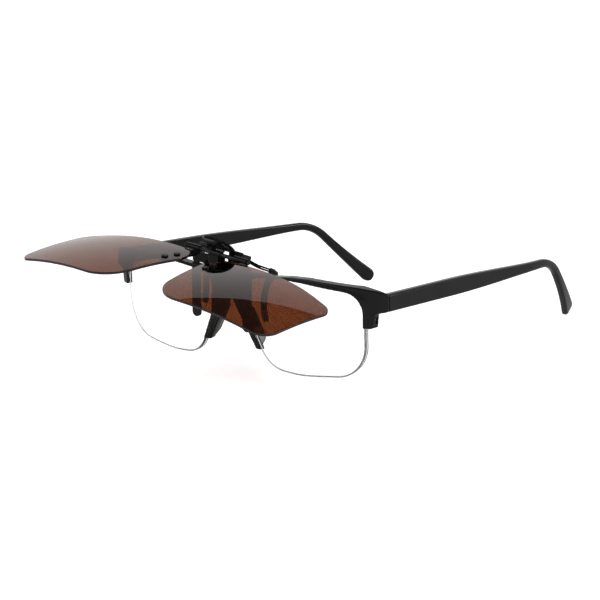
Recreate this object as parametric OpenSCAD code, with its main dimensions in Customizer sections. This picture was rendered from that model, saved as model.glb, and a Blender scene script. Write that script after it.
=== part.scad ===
// Half-rim spectacles with a flip-up pair of tinted lenses clipped on their front.
// Millimetres. +X is the viewer's right when facing the front, +Y runs back along the
// temples, +Z is up. X = 0 is the plane of symmetry, Y = 0 lies at the middle of the
// spectacle lenses, and Z = 0 is the table that lens bottoms and temple tips stand on.
// "right" and "left" in the names are the viewer's.

/* [Spectacle lenses] */
// distance of each lens centre from the plane of symmetry
lens_out = 35; // [33:0.5:37]
// height of the lens centre over the table
lens_up = 17.81; // [17.7:0.1:19]
// turn of each lens round the face, temporal side back, in degrees
lens_wrap = 5.8; // [3:0.2:8]
// lean of the lenses, top forward, in degrees
lens_lean = 2.4; // [0:0.2:4]
// radius of the lens' middle surface
lens_radius = 117; // [100:1:160]
// thickness of a spectacle lens
lens_thick = 2; // [1.6:0.1:2.2]

/* [Cord] */
// diameter of the nylon cord that holds each lens from below
cord_dia = 0.6; // [0.4:0.05:0.6]
// width of the groove in the lens edge
groove_wide = 0.7; // [0.7:0.05:0.9]

/* [Front] */
// how far the front stands before the lens' middle surface
rim_front = 2.2; // [1.8:0.1:2.4]
// how far the front reaches behind the lens' middle surface
rim_back = 2.2; // [1.8:0.1:2.6]
// how much of the lens edge the front covers
lens_cover = 0.4; // [0.3:0.1:0.6]
// how far the end pieces reach beyond the temporal corners of the lenses
end_wide = 8; // [7:0.1:9]
// how far the outer legs reach beyond the temporal corners of the lenses
leg_wide = 3.2; // [3:0.1:3.8]
// top of the bridge over the lens centre
bridge_rise = 17.1; // [16.2:0.1:17.7]
// apex over the nose, over the lens centre
apex_rise = 8; // [7.2:0.1:9.2]
// highest point of the brow over the lens centre
brow_rise = 19.2; // [19:0.05:19.6]
// underside of the end pieces over the lens centre
end_rise = 9.5; // [9:0.1:10]
// lower end of the outer legs over the lens centre
leg_rise = 3.5; // [3:0.1:4.7]
// lower tip of the legs at the nose, below the lens centre
nose_drop = 10.5; // [9.8:0.1:11]
// how far the tips of the legs at the nose stand before the lens' middle surface
nose_front = 0.9; // [0.8:0.1:1.6]
// how far back the nose pads reach
pad_back = 5.6; // [5:0.1:6.4]
// width of the slot that anchors the cord in the side of the outer leg
anchor_wide = 1; // [0.8:0.1:1.2]
// length of that slot
anchor_long = 2.4; // [1.8:0.1:2.8]
// how far the outer leg reaches behind the lens' middle surface
leg_back = 1.6; // [1.4:0.1:1.8]

/* [Hinges] */
// plane of the back of the end pieces
end_back = 8; // [7.8:0.1:8.4]
// gap between the end piece and the end of the temple
butt_gap = 0.1; // [0.05:0.05:0.3]
// distance of the hinge axis from the outer face of the end piece
hinge_in = 5; // [4.7:0.1:5.3]
// hinge axis behind the back of the end piece
hinge_back = 1.4; // [1.35:0.05:1.6]
// middle of the hinge over the lens centre
hinge_rise = 12.95; // [12.6:0.05:13.2]
// outer diameter of a hinge barrel
barrel_dia = 2.5; // [2.3:0.1:2.6]
// height of one of the three barrels
barrel_tall = 1.6; // [1.4:0.1:1.7]
// gap between neighbouring barrels
barrel_gap = 0.1; // [0.05:0.05:0.2]
// diameter of the hinge screw
screw_dia = 1.1; // [0.9:0.05:1.2]
// running clearance on the screw's radius
screw_clear = 0.05; // [0.03:0.01:0.1]
// thickness of the hinge leaves
leaf_thick = 0.8; // [0.6:0.1:0.9]

/* [Temples] */
// thickness of a temple
temple_thick = 3.1; // [2.8:0.1:3.4]
// height of a temple at the hinge
temple_tall = 6.3; // [6:0.1:6.4]
// height of a temple where it is thinnest, before the bend
temple_thin = 3.2; // [2.8:0.1:3.6]
// height of a temple near its tip
temple_tip = 6.4; // [5.6:0.1:6.6]
// middle of the temple at the hinge, over the lens centre
temple_rise = 13.05; // [12.8:0.05:13.2]
// slope of the temple down to the ear, in degrees
temple_slope = 1.9; // [1.8:0.01:2]
// length from hinge to the start of the ear bend
temple_run = 95.3; // [94:0.1:96]
// radius of the ear bend
ear_radius = 19; // [17:0.5:21]
// angle of the ear bend, in degrees
ear_bend = 43.9; // [42:0.1:45]
// length behind the ear bend
tip_run = 29.2; // [27:0.1:29.6]
// inward run of the temple per millimetre of length
temple_lean = 0.046; // [0.03:0.001:0.06]
// inward shift of the very tip
tip_in = 10; // [7:0.1:10.4]

/* [Clip placing] */
// side shift of the middle of the clip
clip_x = -0.4; // [-0.6:0.1:-0.2]
// distance of the flip axis before the spectacle lenses, where the front prongs meet them
clip_front = 6.3; // [6.2:0.05:6.6]
// height of the flip axis over the brow
clip_rise = 5.35; // [5.2:0.05:5.6]
// lean of the clip, top forward, in degrees
clip_lean = 0.57; // [0.2:0.01:1]
// turn of the clip about the vertical, in degrees
clip_yaw = 1.1; // [0.8:0.05:1.4]
// roll of the clip, right side down, in degrees
clip_roll = 5.59; // [5.3:0.01:5.8]
// angle that the tinted lenses are flipped up from hanging, in degrees
flip_up = 86.2; // [82:0.1:88]

/* [Tinted lenses] */
// how far the centre of each tinted lens lies outwards of the spectacle lens' centre
tint_shift = 1.4; // [1.2:0.05:2]
// gap between the upper edge of a tinted lens and the knuckles on the flip pin
tint_gap = 1.05; // [0.8:0.05:1.5]
// turn of each tinted lens round the face, in degrees
tint_wrap = 5.83; // [5.2:0.05:6.4]
// radius of the tinted lens' middle surface
tint_radius = 176; // [160:1:200]
// thickness of a tinted lens
tint_thick = 0.9; // [0.8:0.05:1.2]
// thickness of the metal strips behind the tinted lenses
strip_thick = 0.7; // [0.6:0.1:0.8]
// width of the strips
strip_wide = 3.4; // [3:0.1:3.8]
// how far the strips reach beyond their lower rivets
strip_end = 2.2; // [1.6:0.1:2.8]
// diameter of the rivet heads
rivet_head = 2.5; // [2.2:0.1:2.8]
// diameter of the rivet shanks
rivet_shank = 1.4; // [1:0.1:1.6]

/* [Clip mechanism] */
// diameter of the flip pin
flip_pin_dia = 1.5; // [1.3:0.05:1.6]
// how far the flip pin's ends stand out of the knuckles
flip_pin_end = 0.7; // [0.3:0.1:1]
// length of a knuckle on the flip pin
knuckle_long = 7.3; // [6:0.1:7.6]
// outer diameter of the knuckles on the flip pin
knuckle_dia = 2.5; // [2.4:0.1:2.6]
// running clearance on the radius of both pins
pin_clear = 0.05; // [0.03:0.01:0.1]
// pivot of the clamp behind the flip axis
pivot_back = 4; // [3.95:0.01:4.1]
// pivot of the clamp above the flip axis
pivot_rise = 0.25; // [0.15:0.05:0.35]
// diameter of the pivot pin
pivot_dia = 1.2; // [1:0.05:1.3]
// diameter of the round heads of the pivot pins
pivot_head = 1.8; // [1.6:0.1:2]
// outer ends of the pivot pins from the middle of the clip
pivot_half = 12.8; // [12.4:0.1:13]
// half the width of the finger tabs
tab_half_wide = 7.1; // [6.6:0.1:7.3]
// half the depth of the finger tabs
tab_half_deep = 5.1; // [4.8:0.1:5.3]
// thickness of the finger tabs
tab_thick = 1; // [0.8:0.1:1.1]
// radius of the arch of the finger tabs
tab_arch = 32; // [28:1:40]
// rise of the upper tab over the flip axis
tab_rise = 4.6; // [4.4:0.1:5]
// drop of the lower tab below the flip axis
tab_drop = 5.3; // [5:0.1:5.6]
// half the width of the block that carries the flip pin
housing_half = 2.5; // [2.2:0.1:2.7]
// middle of each front prong, inwards of the spectacle lens' centre
prong_in = 22.1; // [21.9:0.05:22.4]
// width of a front prong's rubber sleeve
prong_wide = 3.7; // [3.5:0.1:4]
// thickness of a front prong's rubber sleeve
prong_thick = 1.4; // [1.3:0.1:1.5]
// drop of the front prongs' ends below the flip axis
prong_drop = 27.7; // [27.2:0.1:28.4]
// thickness of the metal inside the front prongs and of the cross plate
plate_thick = 0.8; // [0.7:0.05:0.9]
// gap between the ends of the front prongs' sleeves and the lenses' middle surface
grip_gap = 1.9; // [1.8:0.1:2.3]
// gap between a rear prong's sleeve and the back of the front, in the middle
rear_gap = 1.3; // [1:0.1:1.5]
// diameter of the rear prongs' wire
wire_dia = 0.75; // [0.6:0.05:0.8]
// outer diameter of the rear prongs' rubber sleeves
sleeve_dia = 2.4; // [2.3:0.1:2.6]
// diameter of the clamp spring's wire
spring_wire = 0.4; // [0.3:0.05:0.4]
// curls of the clamp spring
spring_curls = 3; // [2:1:3]

/* [Hidden] */
$fn = 48;

black = [0.03, 0.03, 0.035];
soot = [0.06, 0.07, 0.07];
steel = [0.35, 0.36, 0.37];
clear = [0.85, 0.9, 0.9, 0.35];
brown = [0.36, 0.17, 0.08, 0.6];
nylon = [0.8, 0.82, 0.84];

// depth that is safely through any wall
through = 40;
// clearance of a lens in its seat
seat = 0.04;

// corners of a spectacle lens seen from the front, temporal side +x: [x, z, radius]
lens_corners = [
  [-27.6, 15.8, 7],
  [-4, 18.2, 60],
  [27.3, 15.3, 8.4],
  [26.1, -15.3, 13.5],
  [-2, -17.9, 60],
  [-17, -16.9, 12.5],
  [-25.9, 0.5, 14]
];

// corners of a tinted lens, in the same sense
tint_corners = [
  [-33.3, 21.6, 10.3],
  [4.4, 22, 80],
  [27.1, 16.8, 6],
  [26.8, -17.4, 7],
  [-24.6, -20.5, 13]
];

// widths and heights of the front, from the lenses
lens_side = lens_out + lens_corners[2][0];
half_width = lens_side + end_wide;
leg_out = lens_side + leg_wide;
hinge_out = half_width - hinge_in;
bridge_top = lens_up + bridge_rise;
bridge_under = lens_up + apex_rise;
brow_top = lens_up + brow_rise;
end_under = lens_up + end_rise;
leg_under = lens_up + leg_rise;
nose_under = lens_up - nose_drop;
hinge_up = lens_up + hinge_rise;
temple_up = lens_up + temple_rise;

// outline of the right half of the front; the lens opening is cut out of it
front_corners = [
  [0, bridge_under, 0],
  [1.9, bridge_under - 0.2, 1.8],
  [lens_out - 28.5, lens_up - 0.3, 25],
  [lens_out - 22.4, nose_under, 0.7],
  [lens_out - 20, nose_under, 0],
  [lens_out - 16, lens_up - 6.8, 0],
  [lens_out - 16, lens_up + 11.2, 0],
  [lens_out + 15, lens_up + 11.2, 0],
  [lens_out + 19, leg_under, 0],
  [leg_out - 0.8, leg_under, 0.9],
  [leg_out, end_under, 1.8],
  [half_width - 0.9, end_under, 0.9],
  [half_width, brow_top - 2.9, 0.8],
  [lens_side - 0.3, brow_top - 1.5, 60],
  [lens_out - 1, brow_top, 50],
  [12, bridge_top, 12],
  [0, bridge_top, 0]
];

function unit(v) = v / norm(v);

// a point on the way between two values, with a soft start and end
function ease(t) = let (u = min(1, max(0, t))) u * u * (3 - 2 * u);

// the points of one rounded corner b between its neighbours a and c
function corner_arc(a, b, c, r) =
  let (
    u = unit([a[0] - b[0], a[1] - b[1]]),
    v = unit([c[0] - b[0], c[1] - b[1]]),
    half = acos(u * v) / 2,
    turn = sign(cross(u, v)) * -1,
    centre = [b[0], b[1]] + unit(u + v) * r / sin(half),
    from = [b[0], b[1]] + u * r / tan(half) - centre,
    start = atan2(from[1], from[0]),
    sweep = turn * (180 - 2 * half),
    steps = max(1, ceil(abs(sweep) / 9))
  )
  [for (k = [0:steps]) centre + r * [cos(start + sweep * k / steps), sin(start + sweep * k / steps)]];

// a closed outline from corners [x, y, radius]
function outline(corners) =
  let (n = len(corners))
  [
    for (i = [0:n - 1])
      let (b = corners[i])
      each (b[2] == 0 ? [[b[0], b[1]]] : corner_arc(corners[(i + n - 1) % n], b, corners[(i + 1) % n], b[2]))
  ];

// the same corners with every side moved out by d (in, when d is below 0)
function moved_out(corners, d) =
  let (n = len(corners))
  [
    for (i = [0:n - 1])
      let (
        a = corners[(i + n - 1) % n],
        b = corners[i],
        c = corners[(i + 1) % n],
        u = unit([a[0] - b[0], a[1] - b[1]]),
        v = unit([c[0] - b[0], c[1] - b[1]]),
        half = acos(u * v) / 2,
        p = [b[0], b[1]] - unit(u + v) * d / sin(half)
      )
      [p[0], p[1], b[2] + d]
  ];

// depth of a sphere's surface behind its foremost point
function sag(radius, x, z) = radius - sqrt(radius * radius - x * x - z * z);

// closed skin over a row of rings with equal numbers of points
module skin(rings) {
  n = len(rings[0]);
  last = len(rings) - 1;
  points = [for (ring = rings) each ring];
  sides = [
    for (i = [0:last - 1])
      for (j = [0:n - 1])
        each [
          [i * n + j, (i + 1) * n + (j + 1) % n, i * n + (j + 1) % n],
          [i * n + j, (i + 1) * n + j, (i + 1) * n + (j + 1) % n]
        ]
  ];
  near = [for (j = [1:n - 2]) [0, j, j + 1]];
  far = [for (j = [1:n - 2]) [last * n, last * n + j + 1, last * n + j]];
  polyhedron(points, concat(sides, near, far));
}

// direction of a path at its point i
function heading(path, i) =
  unit(path[min(i + 1, len(path) - 1)] - path[max(i - 1, 0)]);

// ring of n points round a centre, square to the direction d; "up" fixes its turn
function ring_at(centre, d, r, n, up) =
  let (a = unit(cross(up, d)), b = cross(d, a))
  [for (j = [0:n - 1]) centre + r * (cos(360 * j / n) * a + sin(360 * j / n) * b)];

// round rod along a path; radii may differ from point to point
module rod(path, radii, n, up) {
  skin([
    for (i = [0:len(path) - 1])
      ring_at(path[i], heading(path, i), is_list(radii) ? radii[i] : radii, n, up)
  ]);
}

// cubic curve through p1 to p2 with p0 and p3 as neighbours
function through_points(p0, p1, p2, p3, t) =
  0.5 * (2 * p1 + (p2 - p0) * t + (2 * p0 - 5 * p1 + 4 * p2 - p3) * t * t
  + (3 * p1 - p0 - 3 * p2 + p3) * t * t * t);

// smooth path through a few points, with the given number of steps between two
function smooth(points, steps) =
  let (n = len(points))
  [
    for (i = [0:n - 2])
      for (k = [0:(i == n - 2 ? steps : steps - 1)])
        through_points(points[max(i - 1, 0)], points[i], points[i + 1], points[min(i + 2, n - 1)], k / steps)
  ];

// puts the right-hand shape on the side asked for
module on_side(side) {
  if (side > 0) {
    children();
  } else {
    mirror([1, 0, 0]) children();
  }
}

// from lens axes to the spectacles' own
module lens_place() {
  translate([lens_out, 0, lens_up])
    rotate([lens_lean, 0, 0])
      rotate([0, 0, lens_wrap])
        children();
}

// spherical shell whose middle surface passes through the origin, facing -Y
module shell(radius, before, behind) {
  translate([0, radius, 0])
    difference() {
      sphere(r = radius + before, $fn = 180);
      sphere(r = radius - behind, $fn = 180);
    }
}

// upright prism of an outline in the X-Z plane
module prism(points, front, back) {
  translate([0, back, 0])
    rotate([90, 0, 0])
      linear_extrude(height = back - front)
        polygon(points);
}

// spectacle lens, larger all round by "more"
module lens_blank(more) {
  intersection() {
    shell(lens_radius, lens_thick / 2 + more, lens_thick / 2 + more);
    prism(outline(moved_out(lens_corners, more)), -5, 15);
  }
}

module lens(side) {
  color(clear)
    on_side(side)
      lens_place()
        difference() {
          lens_blank(0);
          difference() {
            shell(lens_radius, groove_wide / 2, groove_wide / 2);
            prism(outline(moved_out(lens_corners, -cord_dia - seat)), -6, 16);
          }
        }
}

// a flat path with points added, so that none lie further apart than "most"
function refined(points, most) =
  [
    for (i = [0:len(points) - 1])
      let (
        p = points[i],
        q = points[min(i + 1, len(points) - 1)],
        parts = max(1, ceil(norm(q - p) / most))
      )
      for (k = [0:parts - 1]) p + (q - p) * k / parts
  ];

// point at the height z on the side of an outline from corner a to corner b
function on_side_at(a, b, z) = [a[0] + (b[0] - a[0]) * (z - a[1]) / (b[1] - a[1]), z];

// cord along the lower edge, from the outer leg to the leg at the nose
module nylon_cord(side) {
  edge = moved_out(lens_corners, -cord_dia / 2 - seat / 2);
  in_groove = refined(
    concat(
      [on_side_at(edge[3], edge[2], anchor_z - 0.9)],
      corner_arc(edge[2], edge[3], edge[4], edge[3][2]),
      corner_arc(edge[3], edge[4], edge[5], edge[4][2]),
      corner_arc(edge[4], edge[5], edge[6], edge[5][2]),
      [on_side_at(edge[5], edge[6], (edge[5][1] + edge[6][1]) / 2)]
    ),
    3
  );
  path = concat(
    [in_slot(anchor_run, 0.4), in_slot(1.3, 0.3)],
    [for (p = in_groove) [p[0], sag(lens_radius, p[0], p[1]), p[1]]]
  );
  color(nylon)
    on_side(side)
      lens_place()
        rod(path, cord_dia / 2, 6, [0, 1, 0]);
}

// nose pad along the leg, moulded on the back of the front
module nose_pad() {
  tilt = 29.7;
  pad_mid = [lens_out - 28.2, 0, lens_up - 1.5];
  pad_half = 12;
  translate(pad_mid)
    rotate([0, -tilt, 0])
      intersection() {
        translate([0, 0, -pad_half])
          linear_extrude(height = 2 * pad_half)
            polygon(outline([
              [0.1, 0, 0],
              [0.3, 1.6, 6],
              [1.3, pad_back, 0.6],
              [2.9, pad_back, 0.6],
              [3.2, 2, 3],
              [3.1, 0, 0]
            ]));
        translate([-5, 0, 0])
          rotate([90, 0, 90])
            linear_extrude(height = 15)
              polygon(outline([
                [-2, 9.5, 0],
                [1, 9, 3],
                [pad_back, 4, 3],
                [pad_back, -8, 3.5],
                [1, -10.6, 2],
                [-2, -10.6, 0]
              ]));
      }
}

// place of the cord's anchor in lens axes, on the lens edge, and the turn of its slot
anchor_z = 5.9;
anchor_x = on_side_at(lens_corners[3], lens_corners[2], anchor_z)[0];
anchor_y = sag(lens_radius, anchor_x, anchor_z);
anchor_turn = asin(anchor_x / lens_radius);
anchor_run = 3.4;

// point in the slot, by its run outwards from the lens edge and its rise
function in_slot(run, rise) =
  [anchor_x + run * cos(anchor_turn), anchor_y + run * sin(anchor_turn), anchor_z + rise];

// upright slot for the cord's end, from the side of the outer leg to the lens
module anchor_slot() {
  slot_in = 1;
  slot_long = 12;
  straight = anchor_long - anchor_wide;
  translate([anchor_x, anchor_y, anchor_z])
    rotate([0, 0, anchor_turn])
      translate([-slot_in, 0, 0]) {
        for (way = [-1, 1])
          translate([0, 0, way * straight / 2])
            rotate([0, 90, 0])
              cylinder(d = anchor_wide, h = slot_long);
        translate([0, -anchor_wide / 2, -straight / 2])
          cube([slot_long, anchor_wide, straight]);
      }
}

// radius of the bridge's front, how far it stands before and behind Y = 0, and its half width
bridge_bow = 250;
bridge_front = 2;
bridge_back = 2.3;
bridge_half = 10.5;

// takes the front of the legs at the nose away towards their tips
module leg_taper() {
  rotate([90, 0, 90])
    linear_extrude(height = lens_out - 18)
      polygon([
        [-rim_front, bridge_under],
        [-nose_front, nose_under],
        [-nose_front, 0],
        [-through, 0],
        [-through, bridge_under]
      ]);
}

module front_half() {
  difference() {
    intersection() {
      union() {
        intersection() {
          lens_place() shell(lens_radius, rim_front, rim_back);
          translate([0, -through, 0]) cube([half_width, through + end_back, 2 * brow_top]);
        }
        intersection() {
          translate([0, bridge_bow - bridge_front, 0])
            cylinder(r = bridge_bow, h = 2 * brow_top, $fn = 180);
          translate([0, -through, 0]) cube([bridge_half, through + bridge_back, 2 * brow_top]);
        }
      }
      prism(outline(front_corners), -through, through);
    }
    lens_place() {
      prism(outline(moved_out(lens_corners, -lens_cover)), -through / 2, through / 2);
      lens_blank(seat);
      anchor_slot();
      intersection() {
        shell(lens_radius, -leg_back, through / 2);
        translate([through / 2, -through, -through])
          cube([2 * through, 2 * through, through + end_rise - 0.6]);
      }
    }
    leg_taper();
    front_leaf(seat);
  }
  difference() {
    nose_pad();
    lens_place() lens_blank(seat);
  }
}

module front_frame() {
  color(black) {
    front_half();
    mirror([1, 0, 0]) front_half();
  }
}

// bottom of the lowest of the three barrels
barrels_low = hinge_up - 1.5 * barrel_tall - barrel_gap;
barrels_high = hinge_up + 1.5 * barrel_tall + barrel_gap;
hinge_y = end_back + hinge_back;
// the front leaf stands in the back of the end piece
leaf_left = 4.2;

module front_leaf(more) {
  translate([hinge_out - leaf_left - more, end_back - leaf_thick - more, barrels_low - more])
    cube([leaf_left + 1 + 2 * more, leaf_thick + more, barrels_high - barrels_low + 2 * more]);
}

module barrel(low, high, wide) {
  translate([hinge_out, hinge_y, low])
    cylinder(d = wide, h = high - low);
}

module front_hinge(side) {
  color(steel)
    on_side(side)
      difference() {
        union() {
          front_leaf(0);
          for (low = [barrels_low, barrels_high - barrel_tall]) {
            barrel(low, low + barrel_tall, barrel_dia);
            translate([hinge_out - 1, end_back - leaf_thick / 2, low])
              cube([2, hinge_back + leaf_thick / 2, barrel_tall]);
          }
        }
        barrel(barrels_low - 1, barrels_high + 1, screw_dia);
      }
}

module hinge_screw(side) {
  head_tall = 0.45;
  slot = 0.3;
  color(steel)
    on_side(side)
      difference() {
        union() {
          barrel(barrels_low, barrels_high, screw_dia);
          barrel(barrels_high, barrels_high + head_tall, 2 * screw_dia);
        }
        translate([hinge_out - slot / 2, hinge_y - 3, barrels_high + head_tall / 2])
          cube([slot, 6, head_tall]);
      }
}

// the temple's leaf lies in the inner face of the temple
temple_inside = half_width - temple_thick;
leaf_rear = 9.5;

module temple_leaf(more) {
  translate([temple_inside - leaf_thick / 2 - more, hinge_y + 1.2 - more, barrels_low + 0.3 - more])
    cube([
      leaf_thick + 2 * more,
      leaf_rear + 2 * more,
      barrels_high - barrels_low - 0.6 + 2 * more
    ]);
}

module temple_hinge(side) {
  mid_low = hinge_up - barrel_tall / 2;
  color(steel)
    on_side(side)
      difference() {
        union() {
          temple_leaf(0);
          barrel(mid_low, mid_low + barrel_tall, barrel_dia);
          translate([hinge_out, hinge_y, mid_low])
            cube([temple_inside - hinge_out - leaf_thick / 4, 2.2, barrel_tall]);
        }
        barrel(barrels_low - 1, barrels_high + 1, screw_dia + 2 * screw_clear);
      }
}

// one ring of the temple at the distance s behind the hinge
bend_run = ear_radius * ear_bend * PI / 180;
temple_long = temple_run + bend_run + tip_run;
tip_round = 3;
// stretch in which the temple gets thinner, and start of its inward sweep
thin_from = 36;
thin_at = temple_run + 6.7;
in_from = temple_run - 13.3;
// short stretch over which the end at the hinge is rounded
butt_round = 0.25;

function temple_angle(s) =
  temple_slope + ear_bend * min(1, max(0, (s - temple_run) / bend_run));

function temple_mid(s) =
  let (
    run = min(s, temple_run),
    arc = min(bend_run, max(0, s - temple_run)),
    rest = max(0, s - temple_run - bend_run),
    a = temple_slope + arc / ear_radius * 180 / PI,
    whole = temple_slope + ear_bend
  )
  [
    half_width - temple_thick / 2 - s * temple_lean
      - tip_in * pow(max(0, s - in_from) / (temple_long - in_from), 2),
    end_back + butt_gap + run * cos(temple_slope) + ear_radius * (sin(a) - sin(temple_slope))
      + rest * cos(whole),
    temple_up - run * sin(temple_slope) - ear_radius * (cos(temple_slope) - cos(a))
      - rest * sin(whole)
  ];

function temple_height(s) =
  s < thin_at
  ? temple_tall + (temple_thin - temple_tall) * ease((s - thin_from) / (thin_at - thin_from))
  : temple_thin + (temple_tip - temple_thin) * pow((s - thin_at) / (temple_long - thin_at), 2);

// how much of the full section is left at the rounded tip
function tip_part(s) =
  s < temple_long - tip_round ? 1 : sqrt(max(0.01, 1 - pow((s - temple_long + tip_round) / tip_round, 2)));

function temple_ring(s) =
  let (
    mid = temple_mid(s),
    tall = temple_height(s) * (s == 0 ? 0.96 : 1) * (0.15 + 0.85 * tip_part(s)),
    thick = temple_thick * (s == 0 ? 0.94 : 1) * (0.3 + 0.7 * tip_part(s)),
    lean = temple_angle(s),
    n = 16
  )
  [
    for (j = [0:n - 1])
      let (
        a = -360 * (j + 0.5) / n,
        x = thick / 2 * sign(cos(a)) * pow(abs(cos(a)), 0.42),
        z = tall / 2 * sign(sin(a)) * pow(abs(sin(a)), 0.62)
      )
      mid + [x, z * (s == 0 ? 0 : sin(lean)), z * cos(lean)]
  ];

temple_stations = concat(
  [0, butt_round, 6 * butt_round],
  [for (k = [1:9]) temple_run * k / 10],
  [for (k = [0:9]) temple_run + bend_run * k / 9],
  [for (k = [1:5]) temple_run + bend_run + (tip_run - tip_round) * k / 5],
  [for (k = [1:5]) temple_long - tip_round * (1 - sin(18 * k))]
);

module temple(side) {
  color(black)
    on_side(side)
      difference() {
        skin([for (s = temple_stations) temple_ring(s)]);
        temple_leaf(seat);
      }
}

// places of the prongs and the tinted lenses from the middle of the clip
prong_out = lens_out - prong_in;
tint_out = lens_out + tint_shift;

// depth of the spectacle lenses' middle surface where the front prongs meet it
grip_depth = sag(lens_radius, prong_in, 0) - prong_in * sin(lens_wrap);
clip_y = grip_depth - clip_front;
clip_up = brow_top + clip_rise;
echo("flip axis, mm", clip_x, clip_y, clip_up);

// from the clip's axes to the spectacles' own
module clip_place() {
  translate([clip_x, clip_y, clip_up])
    rotate([clip_lean, 0, 0])
      rotate([0, 0, clip_yaw])
        rotate([0, clip_roll, 0])
          children();
}

// from the tinted lenses' hanging position to the flipped one
module flipped() {
  clip_place()
    rotate([-flip_up, 0, 0])
      children();
}

// drop of the centres of the tinted lenses below the flip axis
tint_drop = knuckle_dia / 2 + tint_gap + tint_corners[1][1];

module tint_place() {
  translate([tint_out, 0, -tint_drop])
    rotate([0, 0, tint_wrap])
      children();
}

module along_x(from, to, d) {
  translate([from, 0, 0])
    rotate([0, 90, 0])
      cylinder(d = d, h = to - from);
}

// place of the two rivets, in lens axes
rivet_places = [[-25.95, 7.9], [-27.06, 12.95]];

// cylinders square to the lens at both rivets, from "front" to "back" of its middle surface
module rivet_shanks(d, front, back) {
  for (p = rivet_places)
    translate([0, tint_radius, 0])
      rotate([0, 0, asin(p[0] / sqrt(pow(tint_radius, 2) - pow(p[1], 2)))])
        rotate([-asin(p[1] / tint_radius), 0, 0])
          translate([0, front - tint_radius, 0])
            rotate([-90, 0, 0])
              cylinder(d = d, h = back - front);
}

module clip_lens(side) {
  color(brown)
    flipped()
      on_side(side)
        tint_place()
          difference() {
            intersection() {
              shell(tint_radius, tint_thick / 2, tint_thick / 2);
              prism(outline(tint_corners), -5, 15);
            }
            rivet_shanks(rivet_shank, -3, 3);
          }
}

// middle of the strips in lens axes, the height at which they bend off over the lens' edge,
// and the back of the lens there
strip_x = -26.5;
strip_edge = tint_corners[0][1] + 0.2;
strip_top = strip_edge - tint_drop;
strip_low = rivet_places[0][1] - strip_end;
strip_y = sag(tint_radius, strip_x, strip_edge) + strip_x * sin(tint_wrap) + tint_thick / 2;
strip_mid_x = tint_out + strip_x;
knuckle_in = strip_mid_x - strip_wide / 2;
knuckle_out = knuckle_in + knuckle_long;

module lens_bracket(side) {
  color(soot)
    flipped()
      on_side(side)
        difference() {
          union() {
            tint_place()
              difference() {
                intersection() {
                  shell(tint_radius, -tint_thick / 2, tint_thick / 2 + strip_thick);
                  translate([strip_x - strip_wide / 2, -5, strip_low])
                    cube([strip_wide, 15, strip_edge - strip_low]);
                }
                rivet_shanks(rivet_shank, -3, 5);
              }
            translate([strip_mid_x - strip_wide / 2, 0, 0])
              rotate([90, 0, 90])
                linear_extrude(height = strip_wide)
                  polygon([
                    [knuckle_dia / 2 - strip_thick, 0],
                    [knuckle_dia / 2, 0],
                    [strip_y + strip_thick + 0.1, strip_top],
                    [strip_y + strip_thick - 0.1, strip_top - 1.2],
                    [strip_y + 0.15, strip_top - 1.2],
                    [strip_y + 0.1, strip_top]
                  ]);
            along_x(knuckle_in, knuckle_out, knuckle_dia);
          }
          along_x(knuckle_in - 1, knuckle_out + 1, flip_pin_dia + 2 * pin_clear);
        }
}

module lens_rivets(side) {
  head_tall = 0.6;
  tail_tall = 0.35;
  tail_from = tint_thick / 2 + strip_thick + 2 * seat;
  color(soot)
    flipped()
      on_side(side)
        tint_place() {
          rivet_shanks(rivet_shank, -tint_thick / 2 - head_tall / 2, tail_from + tail_tall / 2);
          rivet_shanks(rivet_head, -tint_thick / 2 - head_tall, -tint_thick / 2);
          rivet_shanks(rivet_head * 0.8, tail_from, tail_from + tail_tall);
        }
}

// plan of a finger tab
tab_mid = 1.2;
tab_plan = [for (k = [0:39]) [tab_half_wide * cos(9 * k), tab_mid + tab_half_deep * sin(9 * k)]];

// arched sheet through the height "up" over the flip axis, falling or rising forward
module tab_sheet(up, angle, low, high) {
  way = up > 0 ? -1 : 1;
  y_mid = -tab_arch * sin(angle);
  z_mid = up + way * tab_arch * cos(angle);
  intersection() {
    translate([-20, y_mid, z_mid])
      rotate([0, 90, 0])
        difference() {
          cylinder(r = tab_arch + (up > 0 ? 0 : tab_thick), h = 40, $fn = 180);
          translate([0, 0, -1]) cylinder(r = tab_arch - (up > 0 ? tab_thick : 0), h = 42, $fn = 180);
        }
    translate([-20, low, up > 0 ? -4 : -12]) cube([40, high - low, 14]);
  }
}

upper_angle = 40;
lower_angle = 29;
barrel_in = 4.8;
barrel_out = 8.8;

module at_pivot() {
  translate([0, pivot_back, pivot_rise]) children();
}

module upper_lever() {
  color(black)
    clip_place()
      difference() {
        union() {
          intersection() {
            tab_sheet(tab_rise, upper_angle, -6, tab_rear);
            translate([0, 0, -5]) linear_extrude(height = 20) polygon(tab_plan);
          }
          for (side = [1, -1])
            on_side(side) {
              intersection() {
                tab_sheet(tab_rise, upper_angle, 1, pivot_back + 0.6);
                translate([barrel_in, 0, -1]) cube([1.9, 10, 8]);
              }
              at_pivot() along_x(barrel_in, barrel_out, knuckle_dia);
              translate([barrel_out - socket_long, pivot_back, wire_start[2] - arm_apart - socket_wall])
                cube([socket_long, socket_deep, 2 * (arm_apart + socket_wall)]);
            }
        }
        at_pivot() along_x(-through, through, pivot_dia + 2 * pin_clear);
        for (side = [1, -1])
          on_side(side)
            for (up = [-1, 1])
              translate([0, wire_start[1], wire_start[2] + up * arm_apart])
                along_x(wire_start[0] - 0.1, through, wire_dia + 2 * seat);
      }
}

// block behind each barrel that holds the ends of the hairpin wire
socket_long = 2.4;
socket_deep = 2;
socket_wall = 0.8;

// half the distance between the two runs of the hairpin wire, in its arm and in its sleeve
arm_apart = 0.42;
wire_apart = 0.5;
wire_start = [7.4, pivot_back + 1.4, -0.8];

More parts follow.
